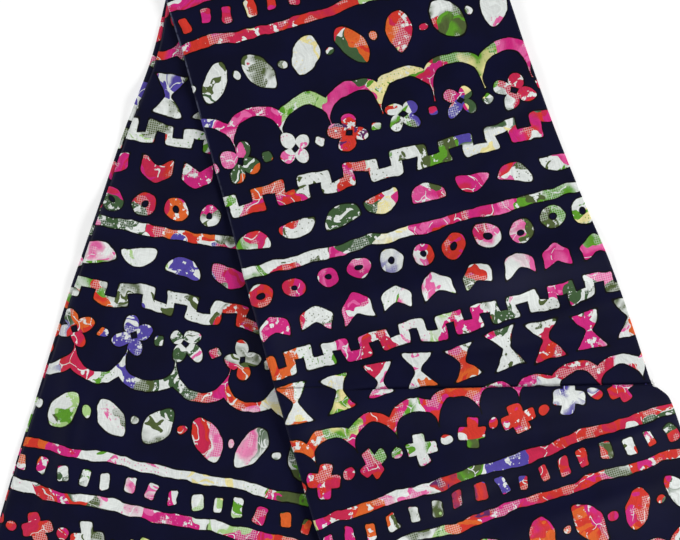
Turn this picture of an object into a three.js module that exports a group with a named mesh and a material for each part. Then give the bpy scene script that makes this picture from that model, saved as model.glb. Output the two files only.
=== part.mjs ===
// Two yards of wax print cotton, folded lengthwise in three to a strip and laid out flat as an
// inverted V: the strip runs up the left leg, turns over at the top and comes down the right leg,
// which lies on the left one. A slanting tuck crosses the right leg's top layer.
//
// Millimetres, +Z up. The origin is at the middle of the outline, on the surface that the cloth
// lies on. +X runs to the right and +Y towards the top turn.
//
// The strip is three layers thick. On each leg the top layer is a wall of its own, and the two
// layers under it share one solid. In the top turn the outer layer wraps round the other two.

import * as THREE from "three";

// One layer of cloth, with the air that it holds, and the gap between two pieces.
const PLY = 1.2;
const SEAM = 0.3;

// Heights that follow from them.
const INNER_HEIGHT = 2 * PLY;
const LEG_HEIGHT = INNER_HEIGHT + SEAM + PLY;
const RIGHT_LEG_LIFT = LEG_HEIGHT + SEAM;

// How the right leg comes down to the surface: at these distances past the left leg's right
// edge, and over this stretch where the two legs part near their ends.
const DRAPE_START = 25;
const DRAPE_END = 125;
const LEGS_PART_Y = -384;
const RIGHT_LEG_DOWN_Y = -456;

// The top turn is soft. It holds the right leg up a little, less and less down to this distance.
const TURN_PUFF = 4;
const TURN_PUFF_REACH = 90;
const TURN_DEPTH = 7.7;
const TURN_STEPS = 12;

// Rolled edges of a top layer: how far in the roll reaches, and how far down the two kinds go.
const ROLL_REACH = 2.4;
const ROLL_TO_NEXT_LAYER = 2.4;
const ROLL_TO_SURFACE = 3.7;
const ROLL_STEPS = 3;

// Hidden layers end inside that roll, in a half round with a narrow flat.
const INNER_INSET = 2.6;
const FOLD_RADIUS = PLY;
const FOLD_TURN = THREE.MathUtils.degToRad(72);
const FOLD_STEPS = 3;

// The layers don't end in one line: how much some of them stop short.
const BOTTOM_LAYER_SHORT_AT_SIDE = 6;
const HIDDEN_LAYERS_SHORT_AT_END = 3;
const BOTTOM_LAYER_SHORT_AT_END = 7;

// The tuck is deepest at the right edge and runs out before it reaches the left one. Its crest
// lies two layers higher than the cloth around it, and comes down again past the tuck.
const TUCK_DEPTH = 12.5;
const TUCK_FROM_X = -29;
const TUCK_TO_X = 352;
const TUCK_HEIGHT = 2 * (PLY + SEAM);
const CREST_RISES_FROM_X = -90;
const CREST_RISES_TO_X = -50;
const CREST_FALLS_OVER = 38;
const CREST_ROLL_GROWS_OVER = 30;

// Rows that round the crest: how far below its edge each lies, and how much it is lowered.
const CREST_ROWS = [
  { down: 0, lowered: 0.8 },
  { down: 0.5, lowered: 0.3 },
  { down: 1.6, lowered: 0 },
];

// Rows that end the cloth above the tuck: how far above the crest's edge each lies, whether it
// goes down into the tuck, and how its right edge rolls and draws in to fit under the crest.
const TUCKED_ROWS = [
  { above: 1.6, tucked: 0, roll: ROLL_TO_SURFACE, drawnIn: 0 },
  { above: 1.3, tucked: 0, roll: PLY, drawnIn: 0 },
  { above: 1.0, tucked: 0, roll: PLY, drawnIn: 9 },
  { above: SEAM, tucked: 1, roll: PLY, drawnIn: 9 },
];

// Points across a layer, which begin this far from its edges, and along the top turn. Rows
// for each section of a leg below, of which the last leg's sections lie closest.
const COLUMNS = 12;
const COLUMNS_FROM_EDGE = 16;
const TURN_COLUMNS = 4;
const LEFT_LEG_ROWS = 2;
const RIGHT_LEG_UPPER_ROWS = 2;
const RIGHT_LEG_LOWER_ROWS = 1;

const NAVY = 0x1b1b33;

// The left leg, section by section from the top turn to the cut end. peek is how far the layers
// underneath show past the left edge of the top one.
const LEFT_LEG = [
  { leftX: -233, leftY: 463, rightX: 174, rightY: 482, peek: 3 },
  { leftX: -251, leftY: 390, rightX: 154, rightY: 378, peek: 6 },
  { leftX: -287, leftY: 294, rightX: 131, rightY: 252, peek: 4.5 },
  { leftX: -319, leftY: 198, rightX: 109, rightY: 136, peek: 3 },
  { leftX: -352, leftY: 102, rightX: 87, rightY: 24, peek: 2.5 },
  { leftX: -382, leftY: 6, rightX: 68, rightY: -80, peek: 2.5 },
  { leftX: -412, leftY: -90, rightX: 48, rightY: -184, peek: 1.5 },
  { leftX: -440, leftY: -186, rightX: 30, rightY: -282, peek: 2 },
  { leftX: -461, leftY: -258, rightX: 16, rightY: -354, peek: 1.5 },
  { leftX: -481, leftY: -325, rightX: 3, rightY: -421, peek: 0 },
];

// The right leg, from the top turn to the crest of the tuck.
const RIGHT_LEG_UPPER = [
  { leftX: -232, leftY: 463, rightX: 174, rightY: 482 },
  { leftX: -208, leftY: 384, rightX: 185, rightY: 450 },
  { leftX: -183, leftY: 294, rightX: 205, rightY: 392 },
  { leftX: -159, leftY: 210, rightX: 232, rightY: 318 },
  { leftX: -139, leftY: 132, rightX: 268, rightY: 228 },
  { leftX: -122, leftY: 72, rightX: 305, rightY: 140 },
  { leftX: -110, leftY: 28, rightX: 331, rightY: 66 },
  { leftX: -100, leftY: -7, rightX: 352, rightY: 1 },
];

// The right leg, from that crest to the cut end. Its corner stands out to the right.
const RIGHT_LEG_LOWER = [
  { leftX: -100, leftY: -7, rightX: 352, rightY: 1 },
  { leftX: -97, leftY: -18, rightX: 361, rightY: -5 },
  { leftX: -92, leftY: -35, rightX: 371, rightY: -13 },
  { leftX: -85, leftY: -60, rightX: 377, rightY: -24 },
  { leftX: -76, leftY: -90, rightX: 382, rightY: -37 },
  { leftX: -59, leftY: -150, rightX: 392, rightY: -66 },
  { leftX: -40, leftY: -210, rightX: 407, rightY: -108 },
  { leftX: -22, leftY: -270, rightX: 424, rightY: -154 },
  { leftX: -4, leftY: -330, rightX: 441, rightY: -202 },
  { leftX: 14, leftY: -390, rightX: 456, rightY: -252 },
  { leftX: 30, leftY: -444, rightX: 469, rightY: -298 },
  { leftX: 43, leftY: -490, rightX: 481, rightY: -337 },
];

// Low swells where the cloth doesn't lie quite flat: the middle of each, its half length and
// half width, the direction of its length in degrees from +X, and its height.
const LEFT_LEG_SWELLS = [
  { x: -262, y: 300, long: 40, wide: 70, turn: 65, height: 1.4 },
  { x: -250, y: 158, long: 75, wide: 34, turn: -12, height: 1.5 },
  { x: -355, y: -40, long: 110, wide: 26, turn: 72, height: 1.2 },
];
const RIGHT_LEG_SWELLS = [
  { x: 236, y: 106, long: 120, wide: 36, turn: 14, height: 3.0 },
  { x: 10, y: 120, long: 110, wide: 42, turn: 20, height: 1.6 },
  { x: 40, y: 330, long: 150, wide: 45, turn: 12, height: 1.4 },
  { x: 300, y: -60, long: 80, wide: 45, turn: 4, height: 1.8 },
  { x: 130, y: -190, long: 190, wide: 55, turn: 20, height: 1.6 },
];

function smooth(value, from, to) {
  return THREE.MathUtils.smoothstep(value, from, to);
}

// How far a place lies to the left of a line, seen along it.
function leftOfLine(x, y, from, to) {
  const along = to.clone().sub(from).normalize();
  return along.cross(new THREE.Vector2(x, y).sub(from));
}

function leftCorner(section) {
  return new THREE.Vector2(section.leftX, section.leftY);
}

function rightCorner(section) {
  return new THREE.Vector2(section.rightX, section.rightY);
}

function belowTurn(x, y) {
  const seam = LEFT_LEG[0];
  return -leftOfLine(x, y, leftCorner(seam), rightCorner(seam));
}

function belowCrest(x, y) {
  const crest = RIGHT_LEG_LOWER[0];
  return -leftOfLine(x, y, leftCorner(crest), rightCorner(crest));
}

function pastLeftLeg(x, y) {
  return leftOfLine(x, y, rightCorner(LEFT_LEG[0]), rightCorner(LEFT_LEG[LEFT_LEG.length - 1]));
}

// The swells fade out at the top turn, where the pieces meet in line.
function swellHeight(swells, x, y) {
  let height = 0;
  for (const swell of swells) {
    const offset = new THREE.Vector2(x - swell.x, y - swell.y);
    offset.rotateAround(new THREE.Vector2(0, 0), -THREE.MathUtils.degToRad(swell.turn));
    const along = offset.x / swell.long;
    const across = offset.y / swell.wide;
    height += swell.height * Math.exp(-(along * along) - across * across);
  }
  return height * smooth(belowTurn(x, y), 0, TURN_PUFF_REACH);
}

// Heights over a place: of each leg's hidden layers, and of the top layer on them.
function leftLegUnderside() {
  return 0;
}

function leftLegInnerTop(x, y) {
  return INNER_HEIGHT + swellHeight(LEFT_LEG_SWELLS, x, y);
}

function leftLegTop(x, y) {
  return leftLegInnerTop(x, y) + SEAM + PLY;
}

function rightLegUnderside(x, y) {
  const overLeftLeg = 1 - smooth(pastLeftLeg(x, y), DRAPE_START, DRAPE_END);
  const aboveTheEnds = smooth(y, RIGHT_LEG_DOWN_Y, LEGS_PART_Y);
  const puff = TURN_PUFF * (1 - smooth(belowTurn(x, y), 0, TURN_PUFF_REACH));
  return (RIGHT_LEG_LIFT + puff) * overLeftLeg * aboveTheEnds;
}

function rightLegInnerTop(x, y) {
  return rightLegUnderside(x, y) + INNER_HEIGHT + swellHeight(RIGHT_LEG_SWELLS, x, y);
}

function rightLegTop(x, y) {
  return rightLegInnerTop(x, y) + SEAM + PLY;
}

function crestRise(x, y) {
  const alongCrest = smooth(x, CREST_RISES_FROM_X, CREST_RISES_TO_X);
  const pastTuck = smooth(belowCrest(x, y), TUCK_DEPTH, TUCK_DEPTH + CREST_FALLS_OVER);
  return TUCK_HEIGHT * alongCrest * (1 - pastTuck);
}

function tuckDepth(x) {
  const share = THREE.MathUtils.inverseLerp(TUCK_FROM_X, TUCK_TO_X, x);
  return TUCK_DEPTH * THREE.MathUtils.clamp(share, 0, 1);
}

// Rows across a leg, between a smooth curve through each side of its sections.
function rowsThrough(sections, rowsPerSection) {
  const leftPoints = sections.map(({ leftX, leftY, peek }) => new THREE.Vector3(leftX, leftY, peek ?? 0));
  const rightPoints = sections.map(({ rightX, rightY }) => new THREE.Vector3(rightX, rightY, 0));
  const leftSide = new THREE.CatmullRomCurve3(leftPoints, false, "catmullrom", 0.5);
  const rightSide = new THREE.CatmullRomCurve3(rightPoints, false, "catmullrom", 0.5);
  const count = (sections.length - 1) * rowsPerSection;
  return Array.from({ length: count + 1 }, (_, index) => {
    const from = leftSide.getPoint(index / count);
    const to = rightSide.getPoint(index / count);
    return { left: new THREE.Vector2(from.x, from.y), right: new THREE.Vector2(to.x, to.y), peek: from.z };
  });
}

// The kinds of side edge. steps run from the very edge inwards: how far in the outer and the
// inner face lie, how much the outer one is lowered and how much the inner one is raised.
function rolledEdge(drop) {
  const steps = Array.from({ length: ROLL_STEPS }, (_, index) => {
    const turn = (Math.PI / 2) * (1 - index / ROLL_STEPS);
    const outerIn = ROLL_REACH * (1 - Math.sin(turn));
    const innerIn = outerIn + PLY * Math.sin(turn);
    const bend = 1 - Math.cos(turn);
    return { outerIn, innerIn, lowered: drop * bend, raised: -(drop - PLY) * bend };
  });
  return { steps, flatFrom: ROLL_REACH };
}

function foldedEdge(inset) {
  const steps = Array.from({ length: FOLD_STEPS }, (_, index) => {
    const turn = FOLD_TURN * (1 - index / FOLD_STEPS);
    const across = inset + FOLD_RADIUS * (1 - Math.sin(turn) / Math.sin(FOLD_TURN));
    const bend = FOLD_RADIUS * (1 - Math.cos(turn));
    return { outerIn: across, innerIn: across, lowered: bend, raised: bend };
  });
  return { steps, flatFrom: inset + FOLD_RADIUS };
}

// Two hidden layers of which the lower one stops short of the upper one's fold.
function layeredEdge(inset) {
  const fold = foldedEdge(inset);
  const upper = fold.steps.map((step) => ({ ...step, raised: PLY }));
  const lowerIn = fold.flatFrom + BOTTOM_LAYER_SHORT_AT_SIDE;
  const lower = [
    { outerIn: lowerIn, innerIn: lowerIn, lowered: 0, raised: PLY },
    { outerIn: lowerIn + SEAM, innerIn: lowerIn + SEAM, lowered: 0, raised: 0 },
  ];
  return { steps: [...upper, ...lower], flatFrom: lowerIn + PLY };
}

function plainEdge(inset) {
  return { steps: [], flatFrom: inset };
}

// One row of a layer, as pairs of an outer point and the inner point under it. top and
// thickness are functions of the place, and a row can be bowed, lowered or raised as a whole.
function layerRow(row, leftEdge, rightEdge, top, thickness) {
  const { left, right, bow = () => 0, lowered = 0, raised = -Infinity } = row;
  const width = left.distanceTo(right);
  const flat = (across) => ({ outer: across, inner: across, lowered: 0, raised: 0 });
  const columnAt = (index) =>
    THREE.MathUtils.lerp(COLUMNS_FROM_EDGE, width - COLUMNS_FROM_EDGE, index / COLUMNS);
  const steps = [
    ...leftEdge.steps.map((step) => ({ ...step, outer: step.outerIn, inner: step.innerIn })),
    flat(leftEdge.flatFrom),
    ...Array.from({ length: COLUMNS + 1 }, (_, index) => flat(columnAt(index))),
    flat(width - rightEdge.flatFrom),
    ...rightEdge.steps
      .map((step) => ({ ...step, outer: width - step.outerIn, inner: width - step.innerIn }))
      .reverse(),
  ];
  const place = (across) => {
    const spot = left.clone().lerp(right, across / width);
    spot.y += bow(spot.x);
    return spot;
  };
  return steps.map((step) => {
    const outer = place(step.outer);
    const inner = place(step.inner);
    const height = top(outer.x, outer.y);
    const under = height - thickness(outer.x, outer.y);
    return {
      outer: new THREE.Vector3(outer.x, outer.y, height - Math.max(step.lowered, lowered)),
      inner: new THREE.Vector3(inner.x, inner.y, under + Math.max(step.raised, raised)),
    };
  });
}

// A closed wall between a grid of outer points and the grid of inner points under it.
function wall(name, grid) {
  const rows = grid.length;
  const columns = grid[0].length;
  const outer = (row, column) => row * columns + column;
  const inner = (row, column) => (rows + row) * columns + column;
  const corners = [...grid.flat().map((pair) => pair.outer), ...grid.flat().map((pair) => pair.inner)];
  const faces = [];
  const quad = (a, b, c, d) => faces.push(a, b, c, a, c, d);
  for (let row = 0; row < rows - 1; row += 1) {
    for (let column = 0; column < columns - 1; column += 1) {
      const next = [row + 1, column + 1];
      quad(outer(row, column), outer(next[0], column), outer(...next), outer(row, next[1]));
      quad(inner(row, column), inner(row, next[1]), inner(...next), inner(next[0], column));
    }
    const last = columns - 1;
    quad(outer(row, 0), inner(row, 0), inner(row + 1, 0), outer(row + 1, 0));
    quad(outer(row, last), outer(row + 1, last), inner(row + 1, last), inner(row, last));
  }
  for (let column = 0; column < columns - 1; column += 1) {
    const last = rows - 1;
    quad(outer(0, column), outer(0, column + 1), inner(0, column + 1), inner(0, column));
    quad(outer(last, column), inner(last, column), inner(last, column + 1), outer(last, column + 1));
  }
  const geometry = new THREE.BufferGeometry().setFromPoints(corners);
  geometry.setIndex(faces);
  geometry.computeVertexNormals();
  const material = new THREE.MeshStandardMaterial({ color: NAVY, roughness: 0.85, metalness: 0 });
  const mesh = new THREE.Mesh(geometry, material);
  mesh.name = name;
  return mesh;
}

// Hidden layers stop short of the cut end, the lower one first.
function withSteppedEnd(rows) {
  const last = rows[rows.length - 1];
  const before = rows[rows.length - 2];
  const movedBack = (from, to, distance) => {
    const backwards = to.clone().sub(from).normalize();
    return from.clone().addScaledVector(backwards, distance);
  };
  const rowAt = (distance, raised) => ({
    left: movedBack(last.left, before.left, distance),
    right: movedBack(last.right, before.right, distance),
    raised,
  });
  return [
    ...rows.slice(0, -1),
    rowAt(BOTTOM_LAYER_SHORT_AT_END, -Infinity),
    rowAt(BOTTOM_LAYER_SHORT_AT_END - SEAM, PLY),
    rowAt(HIDDEN_LAYERS_SHORT_AT_END, PLY),
  ];
}

function hiddenLayers(name, rows, leftEdge, rightEdge, underside, top) {
  const thickness = (x, y) => top(x, y) - underside(x, y);
  return wall(
    name,
    withSteppedEnd(rows).map((row) => layerRow(row, leftEdge, rightEdge, top, thickness)),
  );
}

// The left leg: its top layer is free on the left and rolls round the others on the right.
function leftLeg() {
  const rows = rowsThrough(LEFT_LEG, LEFT_LEG_ROWS);
  const rightEdge = rolledEdge(ROLL_TO_SURFACE);
  const face = rows.map((row) => layerRow(row, plainEdge(row.peek), rightEdge, leftLegTop, () => PLY));
  return [
    hiddenLayers(
      "left_leg_inner_layers",
      rows,
      foldedEdge(0),
      foldedEdge(INNER_INSET),
      leftLegUnderside,
      leftLegInnerTop,
    ),
    wall("left_leg_face", face),
  ];
}

// The right leg: its top layer rolls round the next one on the left and round both on the right.
function rightLegUpperFace(rows) {
  const leftEdge = rolledEdge(ROLL_TO_NEXT_LAYER);
  const crest = rows[rows.length - 1];
  const open = rows.slice(0, -1).map((row) => ({ ...row, roll: ROLL_TO_SURFACE }));
  const hidden = TUCKED_ROWS.map(({ above, tucked, roll, drawnIn }) => ({
    left: crest.left,
    right: crest.right.clone().lerp(crest.left, drawnIn / crest.right.distanceTo(crest.left)),
    bow: (x) => above - tucked * tuckDepth(x),
    roll,
  }));
  const grid = [...open, ...hidden].map((row) =>
    layerRow(row, leftEdge, rolledEdge(row.roll), rightLegTop, () => PLY),
  );
  return wall("right_leg_upper_face", grid);
}

// The lower stretch is thicker along its crest, where its own end is turned back under it.
function rightLegLowerFace(rows) {
  const leftEdge = rolledEdge(ROLL_TO_NEXT_LAYER);
  const crest = CREST_ROWS.map(({ down, lowered }) => ({ ...rows[0], bow: () => -down, lowered }));
  const top = (x, y) => rightLegTop(x, y) + crestRise(x, y);
  const grid = [...crest, ...rows.slice(1)].map((row) => {
    const { x, y } = row.right;
    const grown = smooth(belowCrest(x, y), 0, CREST_ROLL_GROWS_OVER);
    const roll = THREE.MathUtils.lerp(PLY, ROLL_TO_SURFACE + crestRise(x, y), grown);
    const hem = (spotX, spotY) => {
      const depth = tuckDepth(spotX);
      const turnedBack = depth > 0 && belowCrest(spotX, spotY) < depth;
      return turnedBack ? PLY + TUCK_HEIGHT / 2 : PLY;
    };
    return layerRow(row, leftEdge, rolledEdge(roll), top, hem);
  });
  return wall("right_leg_lower_face", grid);
}

function rightLeg() {
  const upperRows = rowsThrough(RIGHT_LEG_UPPER, RIGHT_LEG_UPPER_ROWS);
  const lowerRows = rowsThrough(RIGHT_LEG_LOWER, RIGHT_LEG_LOWER_ROWS);
  return [
    hiddenLayers(
      "right_leg_inner_layers",
      [...upperRows, ...lowerRows.slice(1)],
      layeredEdge(INNER_INSET),
      foldedEdge(INNER_INSET),
      rightLegUnderside,
      rightLegInnerTop,
    ),
    rightLegUpperFace(upperRows),
    rightLegLowerFace(lowerRows),
  ];
}

// The top turn, bent through a half circle that is flattened to the height of both legs.
const TURN_HEIGHT = RIGHT_LEG_LIFT + TURN_PUFF + LEG_HEIGHT;

function bent(inset) {
  return (turn) => ({
    out: (TURN_DEPTH - inset) * Math.cos(turn),
    up: TURN_HEIGHT / 2 + (TURN_HEIGHT / 2 - inset) * Math.sin(turn),
  });
}

function turnedOver(name, lastTurn, outerPoint, innerPoint) {
  const left = leftCorner(LEFT_LEG[0]);
  const right = rightCorner(LEFT_LEG[0]);
  const along = right.clone().sub(left).normalize();
  const outwards = new THREE.Vector2(-along.y, along.x);
  const place = (share, { out, up }) => {
    const spot = left.clone().lerp(right, share).addScaledVector(outwards, SEAM + out);
    return new THREE.Vector3(spot.x, spot.y, up);
  };
  const grid = Array.from({ length: TURN_STEPS + 1 }, (_, step) => {
    const turn = THREE.MathUtils.lerp(-lastTurn, lastTurn, step / TURN_STEPS);
    return Array.from({ length: TURN_COLUMNS + 1 }, (_, column) => ({
      outer: place(column / TURN_COLUMNS, outerPoint(turn)),
      inner: place(column / TURN_COLUMNS, innerPoint(turn)),
    }));
  });
  return wall(name, grid);
}

function topTurn() {
  const core = bent(PLY + SEAM);
  const coreBack = (turn) => ({ ...core(turn), out: 0 });
  return [
    turnedOver("top_turn", Math.PI / 2, bent(0), bent(PLY)),
    turnedOver("top_turn_inner_layers", FOLD_TURN, core, coreBack),
  ];
}

const cloth = new THREE.Group();
cloth.name = "folded_wax_print_cotton";
cloth.add(...leftLeg(), ...rightLeg(), ...topTurn());

export default cloth;
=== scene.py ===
import math

import bpy
import numpy as np
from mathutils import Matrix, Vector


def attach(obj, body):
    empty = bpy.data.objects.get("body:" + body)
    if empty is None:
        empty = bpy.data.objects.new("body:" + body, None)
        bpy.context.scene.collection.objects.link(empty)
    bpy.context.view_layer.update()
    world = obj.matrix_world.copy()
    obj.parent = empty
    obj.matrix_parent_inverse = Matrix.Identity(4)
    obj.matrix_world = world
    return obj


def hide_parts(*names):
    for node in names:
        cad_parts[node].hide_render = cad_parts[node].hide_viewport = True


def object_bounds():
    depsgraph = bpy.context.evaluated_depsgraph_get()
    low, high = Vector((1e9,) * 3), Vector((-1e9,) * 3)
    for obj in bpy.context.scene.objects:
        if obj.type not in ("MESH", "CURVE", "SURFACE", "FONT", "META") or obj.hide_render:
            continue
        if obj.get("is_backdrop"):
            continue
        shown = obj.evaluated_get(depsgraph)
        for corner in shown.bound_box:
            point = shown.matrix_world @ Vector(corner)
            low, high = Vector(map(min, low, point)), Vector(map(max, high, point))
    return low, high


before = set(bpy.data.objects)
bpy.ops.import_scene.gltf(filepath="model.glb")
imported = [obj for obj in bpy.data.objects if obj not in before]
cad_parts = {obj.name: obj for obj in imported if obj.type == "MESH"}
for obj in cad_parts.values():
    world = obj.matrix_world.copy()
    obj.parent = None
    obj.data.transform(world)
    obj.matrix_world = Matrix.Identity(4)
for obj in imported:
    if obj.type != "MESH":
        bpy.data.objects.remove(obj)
cad_low, cad_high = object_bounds()


# --------------------------------------
# The cloth lies on a white table top that glows a little, as a light table does, in a room with
# pale walls and a dark ceiling. A soft lamp stands low on the right and a fainter one on the left,
# and the camera looks straight down.
# --------------------------------------
MM = 0.001

FLOOR_SIZE = 9.0
FLOOR_DROP = 0.2 * MM
FLOOR_COLOUR = (0.42, 0.42, 0.42, 1)
FLOOR_GLOW = 0.58
WALL_LIGHT = 0.80
CEILING_LIGHT = 0.05
CEILING_BEGINS = (0.5, 0.8)
WALLS_SEEN = 0.93

CAMERA_HEIGHT = 1935
CAMERA_LENS = 85
CAMERA_SENSOR = 36
CAMERA_OVER = (-22.8, 138)

bpy.ops.mesh.primitive_plane_add(size=FLOOR_SIZE, location=(0, 0, -FLOOR_DROP))
floor = bpy.context.object
floor.name = "table_top"
floor_paint = bpy.data.materials.new("white_table_top")
floor_paint.use_nodes = True
floor_shader = floor_paint.node_tree.nodes["Principled BSDF"]
floor_shader.inputs["Base Color"].default_value = FLOOR_COLOUR
floor_shader.inputs["Roughness"].default_value = 0.8
floor_shader.inputs["Specular IOR Level"].default_value = 0.1
floor_shader.inputs["Emission Color"].default_value = (1, 1, 1, 1)
floor_shader.inputs["Emission Strength"].default_value = FLOOR_GLOW
floor.data.materials.append(floor_paint)
floor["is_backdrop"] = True

room = bpy.data.worlds.new("pale_room")
room.use_nodes = True
room_nodes = room.node_tree.nodes
walls = room_nodes["Background"]
walls.inputs["Color"].default_value = (1, 1, 1, 1)
ways = room_nodes.new("ShaderNodeTexCoord")
steepness = room_nodes.new("ShaderNodeSeparateXYZ")
ceiling = room_nodes.new("ShaderNodeMapRange")
ceiling.interpolation_type = "SMOOTHSTEP"
ceiling.inputs["From Min"].default_value = CEILING_BEGINS[0]
ceiling.inputs["From Max"].default_value = CEILING_BEGINS[1]
ceiling.inputs["To Min"].default_value = WALL_LIGHT
ceiling.inputs["To Max"].default_value = CEILING_LIGHT
seen = room_nodes.new("ShaderNodeMapRange")
seen.inputs["To Max"].default_value = WALLS_SEEN
rays = room_nodes.new("ShaderNodeLightPath")
for way_out, way_in in [
    (ways.outputs["Generated"], steepness.inputs[0]),
    (steepness.outputs["Z"], ceiling.inputs["Value"]),
    (ceiling.outputs["Result"], seen.inputs["To Min"]),
    (rays.outputs["Is Camera Ray"], seen.inputs["Value"]),
    (seen.outputs["Result"], walls.inputs["Strength"]),
]:
    room.node_tree.links.new(way_out, way_in)
bpy.context.scene.world = room
bpy.context.scene.view_settings.view_transform = "Standard"


def hang_lamp(name, place, size, power):
    """A square soft lamp that faces the middle of the cloth, in metres and watts."""
    lamp = bpy.data.lights.new(name, "AREA")
    lamp.size = size
    lamp.energy = power
    holder = bpy.data.objects.new(name, lamp)
    holder.location = place
    holder.rotation_euler = holder.location.to_track_quat("Z", "Y").to_euler()
    bpy.context.collection.objects.link(holder)


hang_lamp("large_soft_lamp", place=(3.9, -2.1, 2.1), size=1.7, power=326)
hang_lamp("faint_soft_lamp", place=(-3.8, 1.0, 2.0), size=1.6, power=118)

eye = bpy.data.cameras.new("camera_over_the_table")
eye.lens = CAMERA_LENS
eye.sensor_width = CAMERA_SENSOR
camera = bpy.data.objects.new("camera_over_the_table", eye)
camera.location = (CAMERA_OVER[0] * MM, CAMERA_OVER[1] * MM, CAMERA_HEIGHT * MM)
bpy.context.collection.objects.link(camera)
bpy.context.scene.camera = camera


# --------------------------------------
# The cotton is a plain weave of fine yarn, about 26 threads to a centimetre. Each thread is a
# little thicker here and thinner there, and the cloth keeps a faint crisp sheen from its finish.
# --------------------------------------
THREAD_SPACING = 0.385
SLUB_LENGTH = 24
END_SLUB_LENGTH = 30
SLUB_WIDTH = 0.8


class Field:
    """A number that varies over the cloth, as the output of a node."""

    def __init__(self, socket):
        self.socket = socket

    def __add__(self, other):
        return calculate("ADD", self, other)

    def __sub__(self, other):
        return calculate("SUBTRACT", self, other)

    def __rsub__(self, other):
        return calculate("SUBTRACT", other, self)

    def __mul__(self, other):
        return calculate("MULTIPLY", self, other)

    def __truediv__(self, other):
        return calculate("DIVIDE", self, other)

    def __neg__(self):
        return self * -1

    def __abs__(self):
        return calculate("ABSOLUTE", self)


def plug(value, socket):
    """Feeds a socket from a field, or sets it to a plain number or colour."""
    if isinstance(value, Field):
        socket.id_data.links.new(value.socket, socket)
    else:
        socket.default_value = value


def add_node(tree, kind, feeds=None, **settings):
    node = tree.nodes.new(kind)
    for name, value in settings.items():
        setattr(node, name, value)
    for name, value in (feeds or {}).items():
        plug(value, node.inputs[name])
    return node


def calculate(operation, *values, kind="ShaderNodeMath"):
    tree = next(value.socket.id_data for value in values if isinstance(value, Field))
    node = add_node(tree, kind, dict(enumerate(values)), operation=operation)
    return Field(node.outputs[0])


def parts(value, kind="XYZ"):
    """The three numbers that make up a place or, with the kind Color, a colour."""
    node = add_node(value.socket.id_data, "ShaderNodeSeparate" + kind, {0: value})
    return [Field(socket) for socket in node.outputs]


def new_group(name, inputs, outputs):
    """An empty node group, the fields that come in and the way out. Sockets are name: kind."""
    tree = bpy.data.node_groups.new(name, "ShaderNodeTree")
    for socket, kind in inputs.items():
        tree.interface.new_socket(socket, in_out="INPUT", socket_type="NodeSocket" + kind)
    for socket, kind in outputs.items():
        tree.interface.new_socket(socket, in_out="OUTPUT", socket_type="NodeSocket" + kind)
    way_in = tree.nodes.new("NodeGroupInput")
    return tree, [Field(socket) for socket in way_in.outputs[:-1]], tree.nodes.new("NodeGroupOutput")


def noise(place, size, detail=2.0, roughness=0.5, output=0):
    """Cloudy noise with clouds of about this size, in millimetres."""
    feeds = {"Vector": place, "Scale": 1 / size, "Detail": detail, "Roughness": roughness}
    node = add_node(place.socket.id_data, "ShaderNodeTexNoise", feeds, noise_dimensions="2D")
    return Field(node.outputs[output])


def stretched(place, along_weft, along_warp):
    """The place on the cloth, squeezed so that what is drawn there comes out longer."""
    return calculate("MULTIPLY", place, (1 / along_weft, 1 / along_warp, 1), kind="ShaderNodeVectorMath")


def plain_weave():
    tree, (place, spacing), way_out = new_group(
        "Plain weave",
        {"Place": "Vector", "Thread spacing": "Float"},
        {"Thread height": "Float", "Shade": "Float"},
    )
    along_weft, along_warp, _ = parts(place)
    turn = spacing / math.pi
    waves = calculate("SINE", along_weft / turn) * calculate("SINE", along_warp / turn)
    slub = noise(stretched(place, SLUB_LENGTH, SLUB_WIDTH), 1)
    end_slub = noise(stretched(place, SLUB_WIDTH, END_SLUB_LENGTH), 1)
    uneven = (slub + end_slub) * 0.5
    plug(waves * 0.5 + uneven, way_out.inputs["Thread height"])
    plug(uneven * 0.5 + 0.75, way_out.inputs["Shade"])
    return tree


PLAIN_WEAVE = plain_weave()


# --------------------------------------
# The print: navy dye with bands of cut-out shapes left open in it, each edged with a fine black
# line. Stripes, leaves, flowers, half rounds, rings and stepped lines come back at every repeat.
# Their edges waver, as if cut by hand with scissors.
# --------------------------------------
PRINT_REPEAT = 640
SCISSOR_WANDER = [
    # size of the wander, how far it goes
    (60, 8.0),
    (16, 1.4),
]
CORNER_ROUNDING = 3.0
DIAGONAL = 0.707

# How far shapes stand out of line in their row, how much their sizes differ, and how far apart
# the seeds of two rows are.
OUT_OF_LINE = 5
SMALLEST_SIZE = 0.90
SIZE_SPREAD = 0.22
SEED_STEP = 7.0


def smaller(first, second):
    return calculate("MINIMUM", first, second)


def larger(first, second):
    return calculate("MAXIMUM", first, second)


def distance(across, up):
    return calculate("SQRT", calculate("ADD", across * across, up * up))


def rounded(first, second):
    """Where two edges meet, the corner between them, rounded off."""
    return calculate("SMOOTH_MAX", first, second, CORNER_ROUNDING * 2)


def fade(value, start, end):
    """0 at start and 1 at end, smoothly in between."""
    tree = value.socket.id_data
    feeds = {"Value": value, "From Min": start, "From Max": end}
    node = add_node(tree, "ShaderNodeMapRange", feeds, interpolation_type="SMOOTHSTEP")
    return Field(node.outputs[0])


def use_group(tree, group, feeds):
    """Places a group, and gives the fields that come out of it."""
    node = add_node(tree, "ShaderNodeGroup", feeds, node_tree=group)
    return [Field(socket) for socket in node.outputs]


def stripe(across, up, thickness):
    return abs(up) - thickness / 2


def disc(across, up, width):
    return distance(across, up) - width / 2


def block(across, up, width, height):
    past_side = larger(abs(across) - width / 2 + CORNER_ROUNDING, 0)
    past_end = larger(abs(up) - height / 2 + CORNER_ROUNDING, 0)
    return distance(past_side, past_end) - CORNER_ROUNDING


def leaf(across, up, width, height):
    radius = (width * width + height * height) / (width * 4)
    return distance(distance(across, CORNER_ROUNDING) + radius - width / 2, up) - radius


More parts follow.
